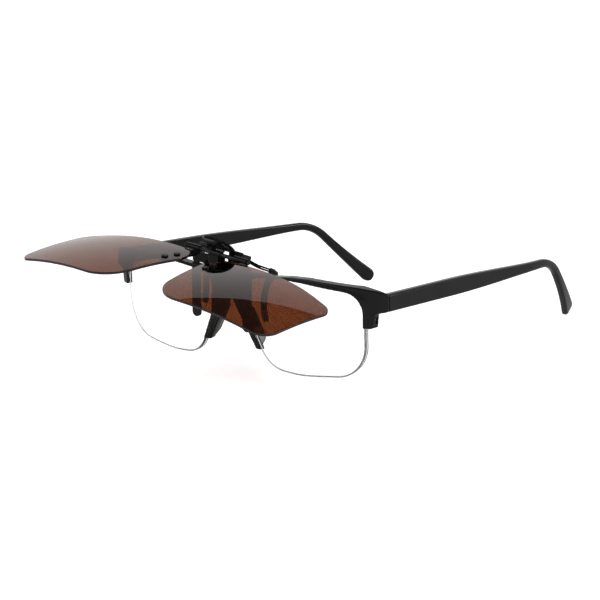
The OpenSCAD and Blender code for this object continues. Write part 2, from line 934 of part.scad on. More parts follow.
// middle of the wire behind the front, from the flip axis
rear_y = clip_front + rim_back + sleeve_dia / 2 + rear_gap;

// middle of the rear prong, from the upper lever down to its tip
prong_points = [
  wire_start,
  [barrel_out + 0.2, wire_start[1], wire_start[2]],
  [barrel_out + 2.5, wire_start[1] + 0.2, -1.6],
  [prong_out + 1.9, rear_y - 4.3, -2.9],
  [prong_out + 4.9, rear_y - 1.7, -4.1],
  [prong_out + 6.1, rear_y + 0.2, -5.5],
  [prong_out + 5, rear_y + 0.6, -7.3],
  [prong_out + 3.2, rear_y + 0.4, -9.6],
  [prong_out + 2.2, rear_y + 0.1, -13.8],
  [prong_out + 2, rear_y, -17.4],
  [prong_out + 2.2, rear_y + 0.1, -20.8],
  [prong_out + 2.7, rear_y + 0.5, -23.5]
];
prong_path = smooth(prong_points, 2);

// how far the path has come, from 0 in the arm to 1 where the sleeve hangs down
function hanging(i) = ease((i - 6) / 6);

// from the middle of the hairpin to its upper or outer run
function run_apart(i) =
  let (turn = 90 * hanging(i), apart = arm_apart + (wire_apart - arm_apart) * hanging(i))
  apart * [sin(turn), 0, cos(turn)];

module rear_prong(side) {
  last = len(prong_path) - 1;
  tip = prong_path[last];
  down = heading(prong_path, last);
  hairpin = concat(
    [for (i = [0:last]) prong_path[i] + run_apart(i)],
    [for (a = [36, 72, 108, 144]) tip + cos(a) * run_apart(last) + sin(a) * wire_apart * down],
    [for (i = [last:-1:0]) prong_path[i] - run_apart(i)]
  );
  color(soot)
    clip_place()
      on_side(side)
        rod(hairpin, wire_dia / 2, 6, [0, 1, 0.001]);
}

module rear_sleeve(side) {
  first = 8;
  last = len(prong_path) - 1;
  sides = 12;
  outer_r = sleeve_dia / 2;
  hole_r = (wire_apart + wire_dia / 2) / cos(180 / sides) + 0.03;
  tip = prong_path[last];
  down = heading(prong_path, last);
  tip_angles = [30, 60, 85];
  path = concat(
    [for (i = [first:last]) prong_path[i]],
    [for (a = tip_angles) tip + sin(a) * outer_r * down]
  );
  radii = concat(
    [0.93 * outer_r],
    [for (i = [first + 1:last]) outer_r],
    [for (a = tip_angles) cos(a) * outer_r]
  );
  hole = concat(
    [prong_path[first] - heading(prong_path, first)],
    [for (i = [first:last]) prong_path[i]],
    [for (a = tip_angles) tip + sin(a) * hole_r * down]
  );
  hole_radii = concat([for (i = [first:last + 1]) hole_r], [for (a = tip_angles) cos(a) * hole_r]);
  color(black)
    clip_place()
      on_side(side)
        difference() {
          rod(path, radii, sides, [0, 1, 0.001]);
          rod(hole, hole_radii, sides, [0, 1, 0.001]);
        }
}

// side view of a front prong: [y, z] of the middle of its metal, down to the lens
plate_y = 2.75;
prong_end_y = clip_front - prong_thick / 2 - grip_gap;
prong_line = [
  [plate_y, -1.8],
  [plate_y, -7.4],
  [plate_y + 0.1 * (prong_end_y - plate_y), -11.4],
  [plate_y + 0.47 * (prong_end_y - plate_y), -19.4],
  [prong_end_y, -prong_drop]
];
sleeve_top = -6.8;
// cross plate: top, top between the ears, and underside
plate_top = -1.7;
plate_dip = -2.9;
plate_low = -6;
// ears of the lower lever beside the barrels of the upper one
ear_in = barrel_in - 1.5;
ear_out = barrel_in - 0.1;

// band of the given thickness along the prong's side view, as an outline
function band(line, thick) =
  concat(
    [for (p = line) [p[0] - thick / 2, p[1]]],
    [for (i = [len(line) - 1:-1:0]) [line[i][0] + thick / 2, line[i][1]]]
  );

module prong_slice(thick, wide, top, low, round_r) {
  intersection() {
    translate([prong_out - wide / 2, 0, 0])
      rotate([90, 0, 90])
        linear_extrude(height = wide)
          polygon(band(prong_line, thick));
    prism(
      outline([
        [prong_out - wide / 2, low, round_r],
        [prong_out - wide / 2, top, 0],
        [prong_out + wide / 2, top, 0],
        [prong_out + wide / 2, low, round_r]
      ]),
      -5,
      15
    );
  }
}

metal_wide = prong_wide - 1;
metal_low = -prong_drop + 1.2;
plate_half = prong_out + prong_wide / 2;
plate_front = plate_y - plate_thick / 2;

module lower_lever() {
  color(black)
    clip_place()
      difference() {
        union() {
          intersection() {
            tab_sheet(-tab_drop, lower_angle, -6, plate_y);
            translate([0, 0, -14]) linear_extrude(height = 14) polygon(tab_plan);
          }
          prism(
            outline([
              [-plate_half, plate_low, 0],
              [-plate_half, plate_top - 1.4, 1.2],
              [-ear_out - 0.5, plate_top, 1],
              [-ear_in - 0.4, plate_top, 0.3],
              [-ear_in - 0.4, plate_dip, 0.3],
              [ear_in + 0.4, plate_dip, 0.3],
              [ear_in + 0.4, plate_top, 0.3],
              [ear_out + 0.5, plate_top, 1],
              [plate_half, plate_top - 1.4, 1.2],
              [plate_half, plate_low, 0]
            ]),
            plate_front,
            plate_front + plate_thick
          );
          for (side = [1, -1])
            on_side(side) {
              prong_slice(plate_thick, metal_wide, plate_low + 0.5, metal_low, metal_wide / 2 - 0.05);
              at_pivot() along_x(ear_in, ear_out, knuckle_dia);
              translate([ear_in, plate_front, plate_top - 1.7])
                cube([ear_out - ear_in, plate_thick + 0.6, 3.2]);
            }
        }
        at_pivot() along_x(-through, through, pivot_dia);
      }
}

module front_sleeve(side) {
  color(black)
    clip_place()
      on_side(side)
        difference() {
          prong_slice(prong_thick, prong_wide, sleeve_top, -prong_drop, prong_wide / 2 - 0.05);
          prong_slice(plate_thick + 0.02, metal_wide + 0.02, sleeve_top + 1, metal_low - 0.01, metal_wide / 2 - 0.05);
        }
}

// block on the lower tab that holds the flip pin
module flip_housing() {
  color(soot)
    clip_place()
      difference() {
        union() {
          along_x(-housing_half, housing_half, knuckle_dia);
          translate([-housing_half, -2, -9]) cube([2 * housing_half, 4, 9]);
        }
        along_x(-through, through, flip_pin_dia);
        translate([-20, -tab_arch * sin(lower_angle), -tab_drop + tab_arch * cos(lower_angle)])
          rotate([0, 90, 0])
            difference() {
              cylinder(r = tab_arch + 30, h = 40, $fn = 180);
              cylinder(r = tab_arch, h = 40, $fn = 180);
            }
      }
}

module flip_pin() {
  pin_half = knuckle_out + flip_pin_end;
  color(steel)
    clip_place()
      along_x(-pin_half, pin_half, flip_pin_dia);
}

// the clamp spring: curls on the left pivot pin, one end before the cross plate and the
// other behind the rear edge of the upper tab
spring_pitch = 0.85;
spring_radius = pivot_dia / 2 + spring_wire / 2 + 0.15;
spring_left = -ear_in + spring_wire / 2 + 0.1;
spring_right = spring_left + spring_curls * spring_pitch;
spring_front = plate_front - spring_wire / 2 - 0.02 - pivot_back;
tab_rear = 2.4;
spring_path = concat(
  [[spring_left, spring_front, plate_dip - 1], [spring_left, spring_front, plate_dip + 0.5]],
  [
    for (k = [0:8 * spring_curls])
      [
        spring_left + spring_pitch * k / 8,
        -spring_radius * cos(45 * k),
        spring_radius * sin(45 * k)
      ]
  ],
  [[spring_right, tab_rear + spring_wire / 2 + 0.05 - pivot_back, 1.7]]
);

module pivot_pin(side) {
  head_long = 2.8;
  inner_end = side > 0 ? ear_in - 0.1 : -spring_right - 0.3;
  color(steel)
    clip_place()
      on_side(side)
        at_pivot() {
          along_x(inner_end, pivot_half, pivot_dia);
          along_x(pivot_half - head_long, pivot_half, pivot_head);
        }
}

spring_gap = min([
  for (i = [0:len(spring_path) - 1])
    for (j = [i + 5:1:len(spring_path) - 1])
      norm(spring_path[i] - spring_path[j]) - spring_wire
]);
echo("least gap of the clamp spring to itself, mm", spring_gap);

module clamp_spring() {
  color(steel)
    clip_place()
      at_pivot()
        rod(spring_path, spring_wire / 2, 6, [1, 0, 0.001]);
}

front_frame();
lens(1);  // lens_right
lens(-1);  // lens_left
nylon_cord(1);  // nylon_cord_right
nylon_cord(-1);  // nylon_cord_left
front_hinge(1);  // front_hinge_right
front_hinge(-1);  // front_hinge_left
hinge_screw(1);  // hinge_screw_right
hinge_screw(-1);  // hinge_screw_left
temple_hinge(1);  // temple_hinge_right
temple_hinge(-1);  // temple_hinge_left
temple(1);  // temple_right
temple(-1);  // temple_left
lower_lever();
front_sleeve(1);  // front_sleeve_right
front_sleeve(-1);  // front_sleeve_left
flip_housing();
flip_pin();
pivot_pin(1);  // pivot_pin_right
pivot_pin(-1);  // pivot_pin_left
clamp_spring();
upper_lever();
rear_prong(1);  // rear_prong_right
rear_prong(-1);  // rear_prong_left
rear_sleeve(1);  // rear_sleeve_right
rear_sleeve(-1);  // rear_sleeve_left
clip_lens(1);  // clip_lens_right
clip_lens(-1);  // clip_lens_left
lens_bracket(1);  // lens_bracket_right
lens_bracket(-1);  // lens_bracket_left
lens_rivets(1);  // lens_rivets_right
lens_rivets(-1);  // lens_rivets_left
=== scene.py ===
"""Looks of half-rim spectacles with a flip-up pair of tinted lenses clipped on their front.

Metres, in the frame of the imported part: +X is the viewer's right when facing the front,
+Y runs back along the temples, +Z is up.
"""

import math

import bmesh
import bpy
import numpy as np
from mathutils import Matrix, Vector


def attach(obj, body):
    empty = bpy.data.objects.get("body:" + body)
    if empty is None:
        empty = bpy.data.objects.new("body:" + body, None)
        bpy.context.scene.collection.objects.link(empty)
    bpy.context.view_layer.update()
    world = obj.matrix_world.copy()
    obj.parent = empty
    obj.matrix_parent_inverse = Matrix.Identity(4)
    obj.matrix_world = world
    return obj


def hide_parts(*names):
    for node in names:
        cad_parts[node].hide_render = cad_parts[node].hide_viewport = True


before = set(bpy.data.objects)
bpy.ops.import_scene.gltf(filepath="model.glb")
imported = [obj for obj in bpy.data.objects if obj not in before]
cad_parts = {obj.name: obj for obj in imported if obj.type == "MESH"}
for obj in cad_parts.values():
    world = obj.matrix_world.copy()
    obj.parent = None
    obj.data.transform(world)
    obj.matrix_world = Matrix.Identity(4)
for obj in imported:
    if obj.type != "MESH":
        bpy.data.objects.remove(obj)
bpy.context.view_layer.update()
MM = 0.001

# camera at the photograph's viewing angle
CAMERA_PLACE = Vector((0.533822, -0.52276, 0.195531))
CAMERA_AZIMUTH = math.radians(43.6715)
CAMERA_ELEVATION = math.radians(12.9988)
CAMERA_ROLL = math.radians(-1.6134)
CAMERA_LENS = 124.56
CAMERA_SENSOR = 36.0

# studio: a pale floor inside a round white wall, dimmer towards its top, under a dim ceiling
WALL_RADIUS = 2.6
WALL_TOP_ANGLE = math.radians(39.8)
WALL_LEVELS = (0.85, 0.5)
CEILING_LEVEL = 0.04
FLOOR_LIFT = 0.56
# the floor lies just under the corners of the lowered tinted lenses, in millimetres
FLOOR_DOWN = 5.4
# name, place, diameter and power of each lamp, and the point that all lamps face
LAMPS = [
    ("key", (1.3, -0.9, 2.2), 1.1, 26),
    ("fill", (-1.4, -1.6, 2.0), 1.2, 14),
    ("rim", (1.25, 1.5, 1.15), 0.8, 17),
]
LIT_POINT = (0, 0.03, 0.02)

# spectacle lenses, in millimetres
LENS_OUT = 35
LENS_UP = 17.81
LENS_WRAP = math.radians(5.8)
LENS_LEAN = math.radians(2.4)
LENS_RADIUS = 117
LENS_THICK = 2
LENS_BEVEL = 0.1
CORD_DIA = 0.6
GROOVE_WIDE = 0.7
SEAT = 0.04
LENS_CORNERS = [
    (-27.6, 15.8, 7),
    (-4, 18.2, 60),
    (27.3, 15.3, 8.4),
    (26.1, -15.3, 13.5),
    (-2, -17.9, 60),
    (-17, -16.9, 12.5),
    (-25.9, 0.5, 14),
]
# the cord's slot in the outer leg, and how far under it the cord comes into the lens groove
ANCHOR_UP = 5.9
ANCHOR_DROP = 0.9
# run outwards and rise of the cord's first points in that slot
CORD_END = [(3.4, 0.4), (1.3, 0.3)]

# tinted lenses and the place of the clip, in millimetres
CLIP_PLACE = (-0.4, -6.427, 42.36)
CLIP_LEAN = math.radians(0.57)
CLIP_YAW = math.radians(1.1)
CLIP_ROLL = math.radians(5.59)
FLIP_UP = math.radians(86.2)
TINT_OUT = 36.4
TINT_DROP = 24.3
TINT_WRAP = math.radians(5.83)
TINT_RADIUS = 176
TINT_THICK = 0.9
TINT_BEVEL = 0.08
TINT_CORNERS = [
    (-33.3, 21.6, 10.3),
    (4.4, 22, 80),
    (27.1, 16.8, 6),
    (26.8, -17.4, 7),
    (-24.6, -20.5, 13),
]

# temples, in millimetres
TEMPLE_OUTSIDE = 70.3
TEMPLE_THICK = 3.1
TEMPLE_TALL = 6.3
TEMPLE_THIN = 3.2
TEMPLE_TIP = 6.4
TEMPLE_UP = 30.85
TEMPLE_START = 8.1
TEMPLE_SLOPE = math.radians(1.9)
TEMPLE_RUN = 95.3
EAR_RADIUS = 19
EAR_BEND = math.radians(43.9)
TIP_RUN = 29.2
TIP_ROUND = 3
TIP_IN = 10
TEMPLE_LEAN = 0.046
# runs along a temple where its height tapers, where its roof fades and where its tip turns in
TAPER_FROM = 36
TAPER_TO = 102
ROOF_FADE_FROM = 55
ROOF_FADE_TO = 100
TIP_IN_FROM = 82
# share by which the butt is smaller, and the run over which it grows to full size
BUTT_SHRINK = 0.02
BUTT_RUN = 0.12
# run over which the sections turn from upright to square with the temple
SQUARE_RUN = 2
# shares of its width and height that a temple has left at its very tip
TIP_WIDE = 0.3
TIP_HIGH = 0.03
# the roof on a temple: place of its ridge, drop of the outer and of the inner slope
ROOF = (0.5, 0.5, 0.06)
ROOF_AT_EAR = (0, 0.12, 0.12)
RIDGE_ROUND = 0.06
# radii of a temple's lower corners, its crest and its upper inner corner
ROUNDS = (0.55, 0.75, 0.3)
ROUNDS_AT_EAR = (1.2, 1.0, 1.0)
# how far the lofted pieces stay inside the part's own surfaces
WITHIN = 0.02

# front, in millimetres: where its seam with the temples starts and where its brow starts to round
FRONT_VOXEL = 0.22
SEAM_FROM = 7.3
BROW_FROM = 25
BROW_FADE = 4
# end pieces: place where they turn outwards, and how far their lower corners come out
END_FROM = 66.5
END_FADE = 3
END_TOP = 33.3
END_TALL = 5.2
END_OUT = 0.68
# undersides of the end pieces: where they change, and their rise at the leg and at the side
UNDER_TOP = 28.2
UNDER_FADE = 0.8
LEG_SIDE = 65.4
UNDER_RISE = (-0.5, 0.4)
UNDER_FROM = 66
UNDER_RUN = 3.5


def turn(axis, angle):
    return Matrix.Rotation(angle, 4, axis)


def lens_place(side):
    flip = Matrix.Diagonal((side, 1, 1, 1))
    there = Matrix.Translation((LENS_OUT, 0, LENS_UP)) @ turn("X", LENS_LEAN) @ turn("Z", LENS_WRAP)
    return flip @ there


def clip_place():
    return (
        Matrix.Translation(CLIP_PLACE)
        @ turn("X", CLIP_LEAN)
        @ turn("Z", CLIP_YAW)
        @ turn("Y", CLIP_ROLL)
    )


def tint_place(side):
    flip = Matrix.Diagonal((side, 1, 1, 1))
    there = Matrix.Translation((TINT_OUT, 0, -TINT_DROP)) @ turn("Z", TINT_WRAP)
    return clip_place() @ turn("X", -FLIP_UP) @ flip @ there


def ease(t):
    u = min(1.0, max(0.0, t))
    return u * u * (3 - 2 * u)


def unit(v):
    return v / np.linalg.norm(v)


# outlines: corners (x, z, radius), sides moved out by d, and the rounded points
def moved_out(corners, d):
    moved = []
    n = len(corners)
    for i in range(n):
        a, b, c = (np.array(corners[(i + k) % n][:2], float) for k in (-1, 0, 1))
        u, v = unit(a - b), unit(c - b)
        half = math.acos(float(u @ v)) / 2
        p = b - unit(u + v) * d / math.sin(half)
        moved.append((p[0], p[1], corners[i][2] + d))
    return moved


def corner_arc(a, b, c, r, steps):
    a, b, c = (np.array(p[:2], float) for p in (a, b, c))
    u, v = unit(a - b), unit(c - b)
    half = math.acos(float(u @ v)) / 2
    way = -np.sign(u[0] * v[1] - u[1] * v[0])
    centre = b + unit(u + v) * r / math.sin(half)
    first = b + u * r / math.tan(half) - centre
    start = math.atan2(first[1], first[0])
    sweep = way * (math.pi - 2 * half)
    angles = [start + sweep * k / steps for k in range(steps + 1)]
    return [centre + r * np.array((math.cos(t), math.sin(t))) for t in angles]


def outline(corners, corner_steps=14, side_steps=5):
    """Rounded outline with as many points for any offset of the same corners."""
    n = len(corners)
    arcs = [
        corner_arc(corners[i - 1], corners[i], corners[(i + 1) % n], corners[i][2], corner_steps)
        for i in range(n)
    ]
    points = []
    for i in range(n):
        points += arcs[i]
        last, following = arcs[i][-1], arcs[(i + 1) % n][0]
        for k in range(1, side_steps):
            points.append(last + (following - last) * k / side_steps)
    return points


def depth_at(radius, offset, p):
    """y of the sphere that lies "offset" before the middle surface."""
    r = radius + offset
    return radius - math.sqrt(r * r - p[0] ** 2 - p[1] ** 2)


# meshes
def new_object(name, mesh):
    made = bpy.data.objects.new(name, mesh)
    bpy.context.scene.collection.objects.link(made)
    return made


def shade(mesh, sharp_angle=math.radians(40)):
    """Smooth shading with the edges that turn more than sharp_angle left sharp."""
    work = bmesh.new()
    work.from_mesh(mesh)
    bmesh.ops.recalc_face_normals(work, faces=work.faces)
    for face in work.faces:
        face.smooth = True
    for edge in work.edges:
        edge.smooth = len(edge.link_faces) == 2 and edge.calc_face_angle(0) < sharp_angle
    work.to_mesh(mesh)
    work.free()


def loft(name, rings, bands=None):
    """Closed mesh over rings of equal length; bands gives each strip's material slot."""
    n = len(rings[0])
    points = [tuple(p) for ring in rings for p in ring]
    first, last = len(points), len(points) + 1
    points.append(tuple(sum((Vector(p) for p in rings[0]), Vector()) / n))
    points.append(tuple(sum((Vector(p) for p in rings[-1]), Vector()) / n))
    faces, slots = [], []
    for i in range(len(rings) - 1):
        for j in range(n):
            k = (j + 1) % n
            faces.append((i * n + j, i * n + k, (i + 1) * n + k, (i + 1) * n + j))
            slots.append(bands[i] if bands else 0)
    for j in range(n):
        k = (j + 1) % n
        faces.append((first, j, k))
        faces.append((last, (len(rings) - 1) * n + j, (len(rings) - 1) * n + k))
        slots += [0, 0]
    mesh = bpy.data.meshes.new(name)
    mesh.from_pydata(points, [], faces)
    mesh.polygons.foreach_set("material_index", slots)
    shade(mesh)
    return new_object(name, mesh)


def lens_piece(name, corners, radius, thick, place, bevel, groove=0.0):
    """Lens ground on two spheres, with bevelled edges and, if asked for, a groove round its edge."""
    rings, bands = [], []
    rounds = 12
    margin = 0.15

    def ring(points, offset, shift=0.0, share=1.0, slot=0):
        centre = np.mean(points, axis=0)
        made = []
        for p in points:
            q = centre + (p - centre) * share
            made.append(place @ Vector((q[0], depth_at(radius, offset, q) + shift, q[1])) * MM)
        rings.append(made)
        bands.append(slot)

    inner = outline(moved_out(corners, -bevel))
    near_edge = outline(moved_out(corners, -bevel - margin))
    full = outline(moved_out(corners, -WITHIN))
    for k in range(1, rounds + 1):
        ring(near_edge, thick / 2, share=k / rounds)
    ring(inner, thick / 2, slot=1)
    ring(full, thick / 2 - bevel, slot=1)
    if groove:
        deep = outline(moved_out(corners, -CORD_DIA - SEAT))
        ring(full, groove / 2, slot=1)
        ring(deep, groove / 2, slot=1)
        ring(deep, -groove / 2, slot=1)
        ring(full, -groove / 2, slot=1)
    ring(full, bevel - thick / 2, slot=1)
    ring(inner, -thick / 2)
    for k in range(rounds, 0, -1):
        ring(near_edge, -thick / 2, share=k / rounds)
    return loft(name, rings, bands)


def tube(name, path, radius, sides=14):
    """Round tube along a path of points, closed at both ends with flat caps."""
    path = [Vector(p) for p in path]
    rings = []
    last = len(path) - 1
    for i, p in enumerate(path):
        along = (path[min(i + 1, last)] - path[max(i - 1, 0)]).normalized()
        a = Vector((0, 1, 0.001)).cross(along).normalized()
        b = along.cross(a)
        angles = [2 * math.pi * j / sides for j in range(sides)]
        rings.append([p + (a * math.cos(t) + b * math.sin(t)) * radius for t in angles])
    return loft(name, rings)


def relaxed(mesh, passes, strength, shaped=None):
    """Rounds edges: draws each vertex to its neighbours' mean, as often as strength gives for it."""
    count = len(mesh.vertices)
    co = np.empty(count * 3, np.float32)
    mesh.vertices.foreach_get("co", co)
    co = co.reshape(-1, 3).astype(float)
    if shaped:
        shaped(co)
    edges = np.empty(len(mesh.edges) * 2, np.int32)
    mesh.edges.foreach_get("vertices", edges)
    a, b = edges[0::2], edges[1::2]
    near = np.bincount(a, minlength=count) + np.bincount(b, minlength=count)
    weight = strength(co)
    for k in range(passes):
        mean = np.empty_like(co)
        for axis in range(3):
            mean[:, axis] = np.bincount(a, co[b, axis], count) + np.bincount(b, co[a, axis], count)
        mean /= near[:, None]
        co += (mean - co) * (0.5 * np.clip(weight - k, 0, 1))[:, None]
    mesh.vertices.foreach_set("co", co.astype(np.float32).ravel())
    mesh.update()


def softened(node, name, voxel, strength, passes=40, shaped=None):
    """A piece with softly rounded edges in the shape of a CAD node, which it replaces."""
    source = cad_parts[node]
    made = new_object(name, source.data.copy())
    made.data.materials.clear()
    remesh = made.modifiers.new("remesh", "REMESH")
    remesh.mode = "VOXEL"
    remesh.voxel_size = voxel * MM
    graph = bpy.context.evaluated_depsgraph_get()
    mesh = bpy.data.meshes.new_from_object(made.evaluated_get(graph))
    made.modifiers.clear()
    made.data = mesh
    how = strength if callable(strength) else (lambda co: np.full(len(co), float(strength)))
    relaxed(mesh, passes, how, shaped)
    for polygon in mesh.polygons:
        polygon.use_smooth = True
    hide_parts(node)
    return made


# materials
def material(name, **inputs):
    """A Principled material; inputs are its sockets' plain values, with spaces as underscores."""
    made = bpy.data.materials.new(name)
    made.use_nodes = True
    shader = made.node_tree.nodes["Principled BSDF"]
    for key, value in inputs.items():
        shader.inputs[key.replace("_", " ")].default_value = value
    return made, made.node_tree, shader


def noise(tree, scale, detail=4.0, roughness=0.6, stretch=(1, 1, 1)):
    """Noise in the object's own coordinates; scale is in features a metre."""
    place = tree.nodes.new("ShaderNodeTexCoord")
    mapping = tree.nodes.new("ShaderNodeMapping")
    mapping.inputs["Scale"].default_value = stretch
    made = tree.nodes.new("ShaderNodeTexNoise")
    made.inputs["Scale"].default_value = scale
    made.inputs["Detail"].default_value = detail
    made.inputs["Roughness"].default_value = roughness
    tree.links.new(place.outputs["Object"], mapping.inputs["Vector"])
    tree.links.new(mapping.outputs["Vector"], made.inputs["Vector"])
    return made.outputs["Fac"]


def ramp(tree, source, low, high, start=0.35, stop=0.65):
    """Maps a noise to a range of values."""
    made = tree.nodes.new("ShaderNodeMapRange")
    made.inputs["From Min"].default_value = start
    made.inputs["From Max"].default_value = stop
    made.inputs["To Min"].default_value = low
    made.inputs["To Max"].default_value = high
    tree.links.new(source, made.inputs["Value"])
    return made.outputs["Result"]


def blend_colours(tree, source, first, second, start=0.35, stop=0.65):
    made = tree.nodes.new("ShaderNodeValToRGB")
    made.color_ramp.elements[0].position = start
    made.color_ramp.elements[0].color = (*first, 1)
    made.color_ramp.elements[1].position = stop
    made.color_ramp.elements[1].color = (*second, 1)
    tree.links.new(source, made.inputs["Fac"])
    return made.outputs["Color"]


def bump(tree, shader, source, strength, distance):
    made = tree.nodes.new("ShaderNodeBump")
    made.inputs["Strength"].default_value = strength
    made.inputs["Distance"].default_value = distance
    tree.links.new(source, made.inputs["Height"])
    tree.links.new(made.outputs["Normal"], shader.inputs["Normal"])


def acetate(name):
    """Polished black plastic: faint cloudiness in the colour, tumbled-polish ripples and hairlines."""
    made, tree, shader = material(name, Specular_IOR_Level=0.17)
    cloud = noise(tree, 90)
    colour = blend_colours(tree, cloud, (0.005, 0.0054, 0.0052), (0.0085, 0.0088, 0.0083))
    tree.links.new(colour, shader.inputs["Base Color"])
    hairlines = noise(tree, 700, detail=6, stretch=(6, 1, 6))
    tree.links.new(ramp(tree, hairlines, 0.1, 0.18), shader.inputs["Roughness"])
    bump(tree, shader, noise(tree, 260, detail=2), 0.12, 0.00006)
    return made


def lets_lamps_through(made, tree, shader, colour):
    """Glass that rays from lamps cross straight, tinted, instead of casting a black shadow."""
    path = tree.nodes.new("ShaderNodeLightPath")
    open_side = tree.nodes.new("ShaderNodeBsdfTransparent")
    open_side.inputs["Color"].default_value = (*colour, 1)
    mix = tree.nodes.new("ShaderNodeMixShader")
    tree.links.new(path.outputs["Is Shadow Ray"], mix.inputs["Fac"])
    tree.links.new(shader.outputs["BSDF"], mix.inputs[1])
    tree.links.new(open_side.outputs["BSDF"], mix.inputs[2])
    tree.links.new(mix.outputs["Shader"], tree.nodes["Material Output"].inputs["Surface"])
    return made


def clear_lens_glass():
    made, tree, shader = material(
        "clear_lens", Base_Color=(0.997, 1, 0.998, 1), Transmission_Weight=1.0, IOR=1.5
    )
    tree.links.new(ramp(tree, noise(tree, 110, detail=1), 0.002, 0.012), shader.inputs["Roughness"])
    return lets_lamps_through(made, tree, shader, (0.93, 0.95, 0.94))


def tinted_lens_glass():
    made, tree, shader = material("tinted_lens", Transmission_Weight=1.0, IOR=1.5)
    tint = blend_colours(tree, noise(tree, 45, detail=1), (0.103, 0.0255, 0.007), (0.111, 0.0285, 0.008))
    tree.links.new(tint, shader.inputs["Base Color"])
    tree.links.new(ramp(tree, noise(tree, 110, detail=1), 0.002, 0.014), shader.inputs["Roughness"])
    return lets_lamps_through(made, tree, shader, (0.38, 0.19, 0.1))


def tint_edge():
    made, tree, shader = material("tint_edge", Specular_IOR_Level=0.1)
    colour = blend_colours(tree, noise(tree, 900), (0.003, 0.0022, 0.0018), (0.006, 0.004, 0.003))
    tree.links.new(colour, shader.inputs["Base Color"])
    tree.links.new(ramp(tree, noise(tree, 2500), 0.3, 0.5), shader.inputs["Roughness"])
    return made


def clear_edge():
    """Ground edge of a clear lens, finely frosted."""
    made, tree, shader = material(
        "clear_edge", Base_Color=(0.42, 0.43, 0.43, 1), Transmission_Weight=0.7, IOR=1.5
    )
    tree.links.new(ramp(tree, noise(tree, 2200), 0.25, 0.45), shader.inputs["Roughness"])
    return lets_lamps_through(made, tree, shader, (0.8, 0.83, 0.82))


def nylon():
    made, tree, shader = material("nylon", Transmission_Weight=0.12, IOR=1.53)
    colour = blend_colours(tree, noise(tree, 1500), (0.15, 0.16, 0.16), (0.2, 0.21, 0.21))
    tree.links.new(colour, shader.inputs["Base Color"])
    tree.links.new(ramp(tree, noise(tree, 3000), 0.2, 0.34), shader.inputs["Roughness"])
    return made


def coated_metal(name, dark, light, low, high):
    """Metal under a thin black finish, smooth but not quite even."""
    made, tree, shader = material(name, Metallic=0.1, Specular_IOR_Level=0.14)
    colour = blend_colours(tree, noise(tree, 600), dark, light)
    tree.links.new(colour, shader.inputs["Base Color"])
    tree.links.new(ramp(tree, noise(tree, 1800), low, high), shader.inputs["Roughness"])
    bump(tree, shader, noise(tree, 2600, detail=2), 0.15, 0.00003)
    return made


def bare_metal(name, dark, light, low, high):
    made, tree, shader = material(name, Metallic=1.0)
    colour = blend_colours(tree, noise(tree, 900, stretch=(1, 1, 5)), dark, light)
    tree.links.new(colour, shader.inputs["Base Color"])
    tree.links.new(ramp(tree, noise(tree, 2400, stretch=(1, 1, 6)), low, high), shader.inputs["Roughness"])
    return made


def rubber():
    made, tree, shader = material("rubber", Specular_IOR_Level=0.2)
    colour = blend_colours(tree, noise(tree, 800), (0.0042, 0.004, 0.0036), (0.0075, 0.0072, 0.0066))
    tree.links.new(colour, shader.inputs["Base Color"])
    tree.links.new(ramp(tree, noise(tree, 1500), 0.34, 0.5), shader.inputs["Roughness"])
    bump(tree, shader, noise(tree, 3500, detail=3), 0.3, 0.00004)
    return made


BLACK_ACETATE = acetate("black_acetate")
CLEAR_LENS = clear_lens_glass()
CLEAR_EDGE = clear_edge()
TINTED_LENS = tinted_lens_glass()
TINT_EDGE = tint_edge()
NYLON = nylon()
CLIP_BLACK = coated_metal("clip_black", (0.0022, 0.0024, 0.0022), (0.0045, 0.0048, 0.0045), 0.16, 0.28)
RIVET_DARK = coated_metal("rivet_dark", (0.012, 0.012, 0.013), (0.03, 0.03, 0.031), 0.2, 0.34)
PIN_BLACK = coated_metal("pin_black", (0.011, 0.011, 0.012), (0.026, 0.026, 0.027), 0.14, 0.24)
HINGE_STEEL = bare_metal("hinge_steel", (0.3, 0.31, 0.32), (0.44, 0.45, 0.46), 0.2, 0.35)
SPRING_STEEL = bare_metal("spring_steel", (0.4, 0.41, 0.42), (0.55, 0.55, 0.56), 0.18, 0.3)
RUBBER = rubber()


def dress(piece, body, slot, *materials):
    """Gives a piece its materials and the body that it rides on; its slot is not used."""
    piece.data.materials.clear()
    for m in materials:
        piece.data.materials.append(m)
    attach(piece, body)


# spectacle lenses and the cords that hold them
def clear_lens(side, word):
    piece = lens_piece(
        "clear_lens_" + word,
        LENS_CORNERS,
        LENS_RADIUS,
        LENS_THICK,
        lens_place(side),
        LENS_BEVEL,
        GROOVE_WIDE,
    )
    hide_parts("lens_" + word)
    dress(piece, "spectacles", "lens_clear", CLEAR_LENS, CLEAR_EDGE)


def on_side_at(a, b, z):
    """Point at the height z on the side of an outline from corner a to corner b."""
    return np.array((a[0] + (b[0] - a[0]) * (z - a[1]) / (b[1] - a[1]), z))


def refined(points, most):
    """The same flat path with points added, so that none lie further apart than "most"."""
    made = []
    for p, q in zip(points, points[1:]):
        parts = max(1, math.ceil(np.linalg.norm(q - p) / most))
        made += [p + (q - p) * k / parts for k in range(parts)]
    return made + [points[-1]]


